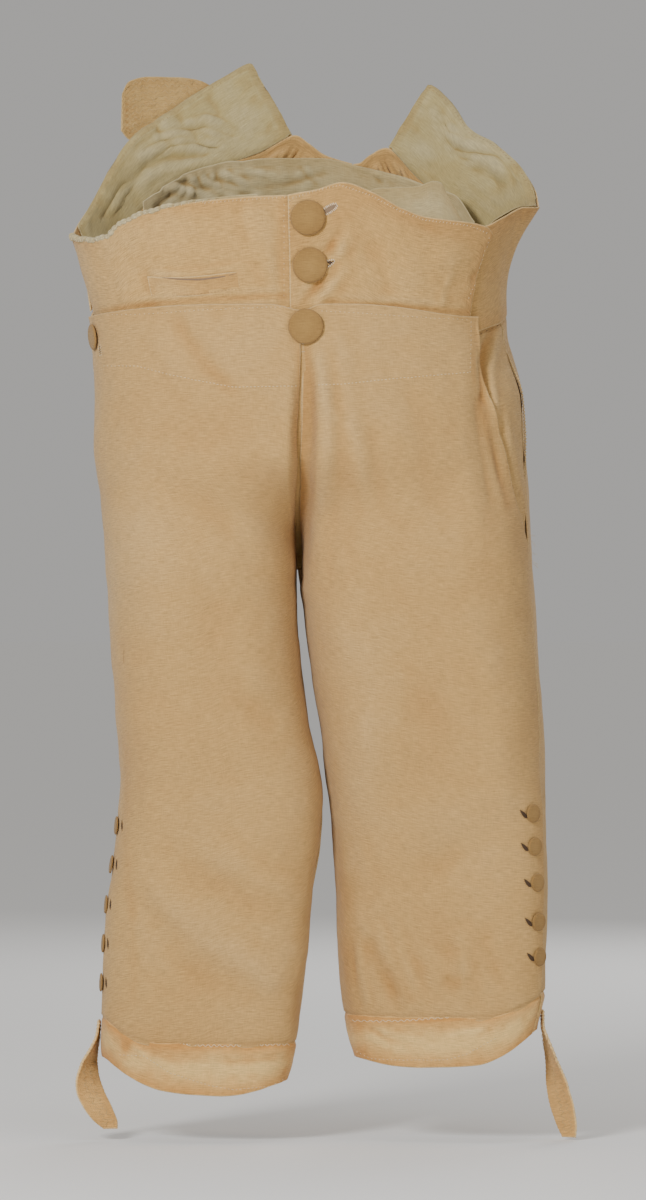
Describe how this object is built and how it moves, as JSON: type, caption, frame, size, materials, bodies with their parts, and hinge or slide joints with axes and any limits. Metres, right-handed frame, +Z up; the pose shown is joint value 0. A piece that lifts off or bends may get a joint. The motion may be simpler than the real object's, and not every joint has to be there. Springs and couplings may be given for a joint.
{
  "type": "knee breeches",
  "caption": "Fall-front knee breeches of buff linen, hollow as worn, with covered buttons, a tall back waistband open in a V, kneebands and hanging knee straps.",
  "frame": {"origin": "middle of the waist opening, level with the front waistband, where the body holds the garment", "axes": "+Z up out of the waist, -Y towards the fall at the front, +X towards the wearer's left"},
  "size_m": [0.3838, 0.2247, 0.8225],
  "materials": {
    "cloth": "matt slubby buff linen and cotton weave",
    "tab_cloth": "matt coarse brownish buff linen",
    "lining": "matt greyish off-white linen",
    "button": "matt cloth covering over a stiff disc"
  },
  "bodies": {
    "root": {"front_leg_right": "cloth", "front_leg_left": "cloth", "back_leg_right": "cloth", "back_leg_left": "cloth", "side_piece_left": "cloth", "front_waistband_right": "cloth", "front_waistband_left": "cloth", "back_waistband_right": "cloth", "back_waistband_left": "cloth", "back_lining_right": "lining", "back_lining_left": "lining", "front_lining_right": "lining", "front_lining_left": "lining", "seat_lining": "lining", "watch_pocket_welt": "cloth", "back_tab": "tab_cloth", "kneeband_right": "cloth", "kneeband_left": "cloth", "knee_strap_right": "cloth", "knee_strap_left": "cloth", "waist_button_1": "button", "waist_button_2": "button", "fall_button_middle": "button", "fall_button_right": "button", "knee_button_right_1": "button", "knee_button_right_2": "button", "knee_button_right_3": "button", "knee_button_right_4": "button", "knee_button_right_5": "button", "knee_button_left_1": "button", "knee_button_left_2": "button", "knee_button_left_3": "button", "knee_button_left_4": "button", "knee_button_left_5": "button"}
  },
  "joints": []
}
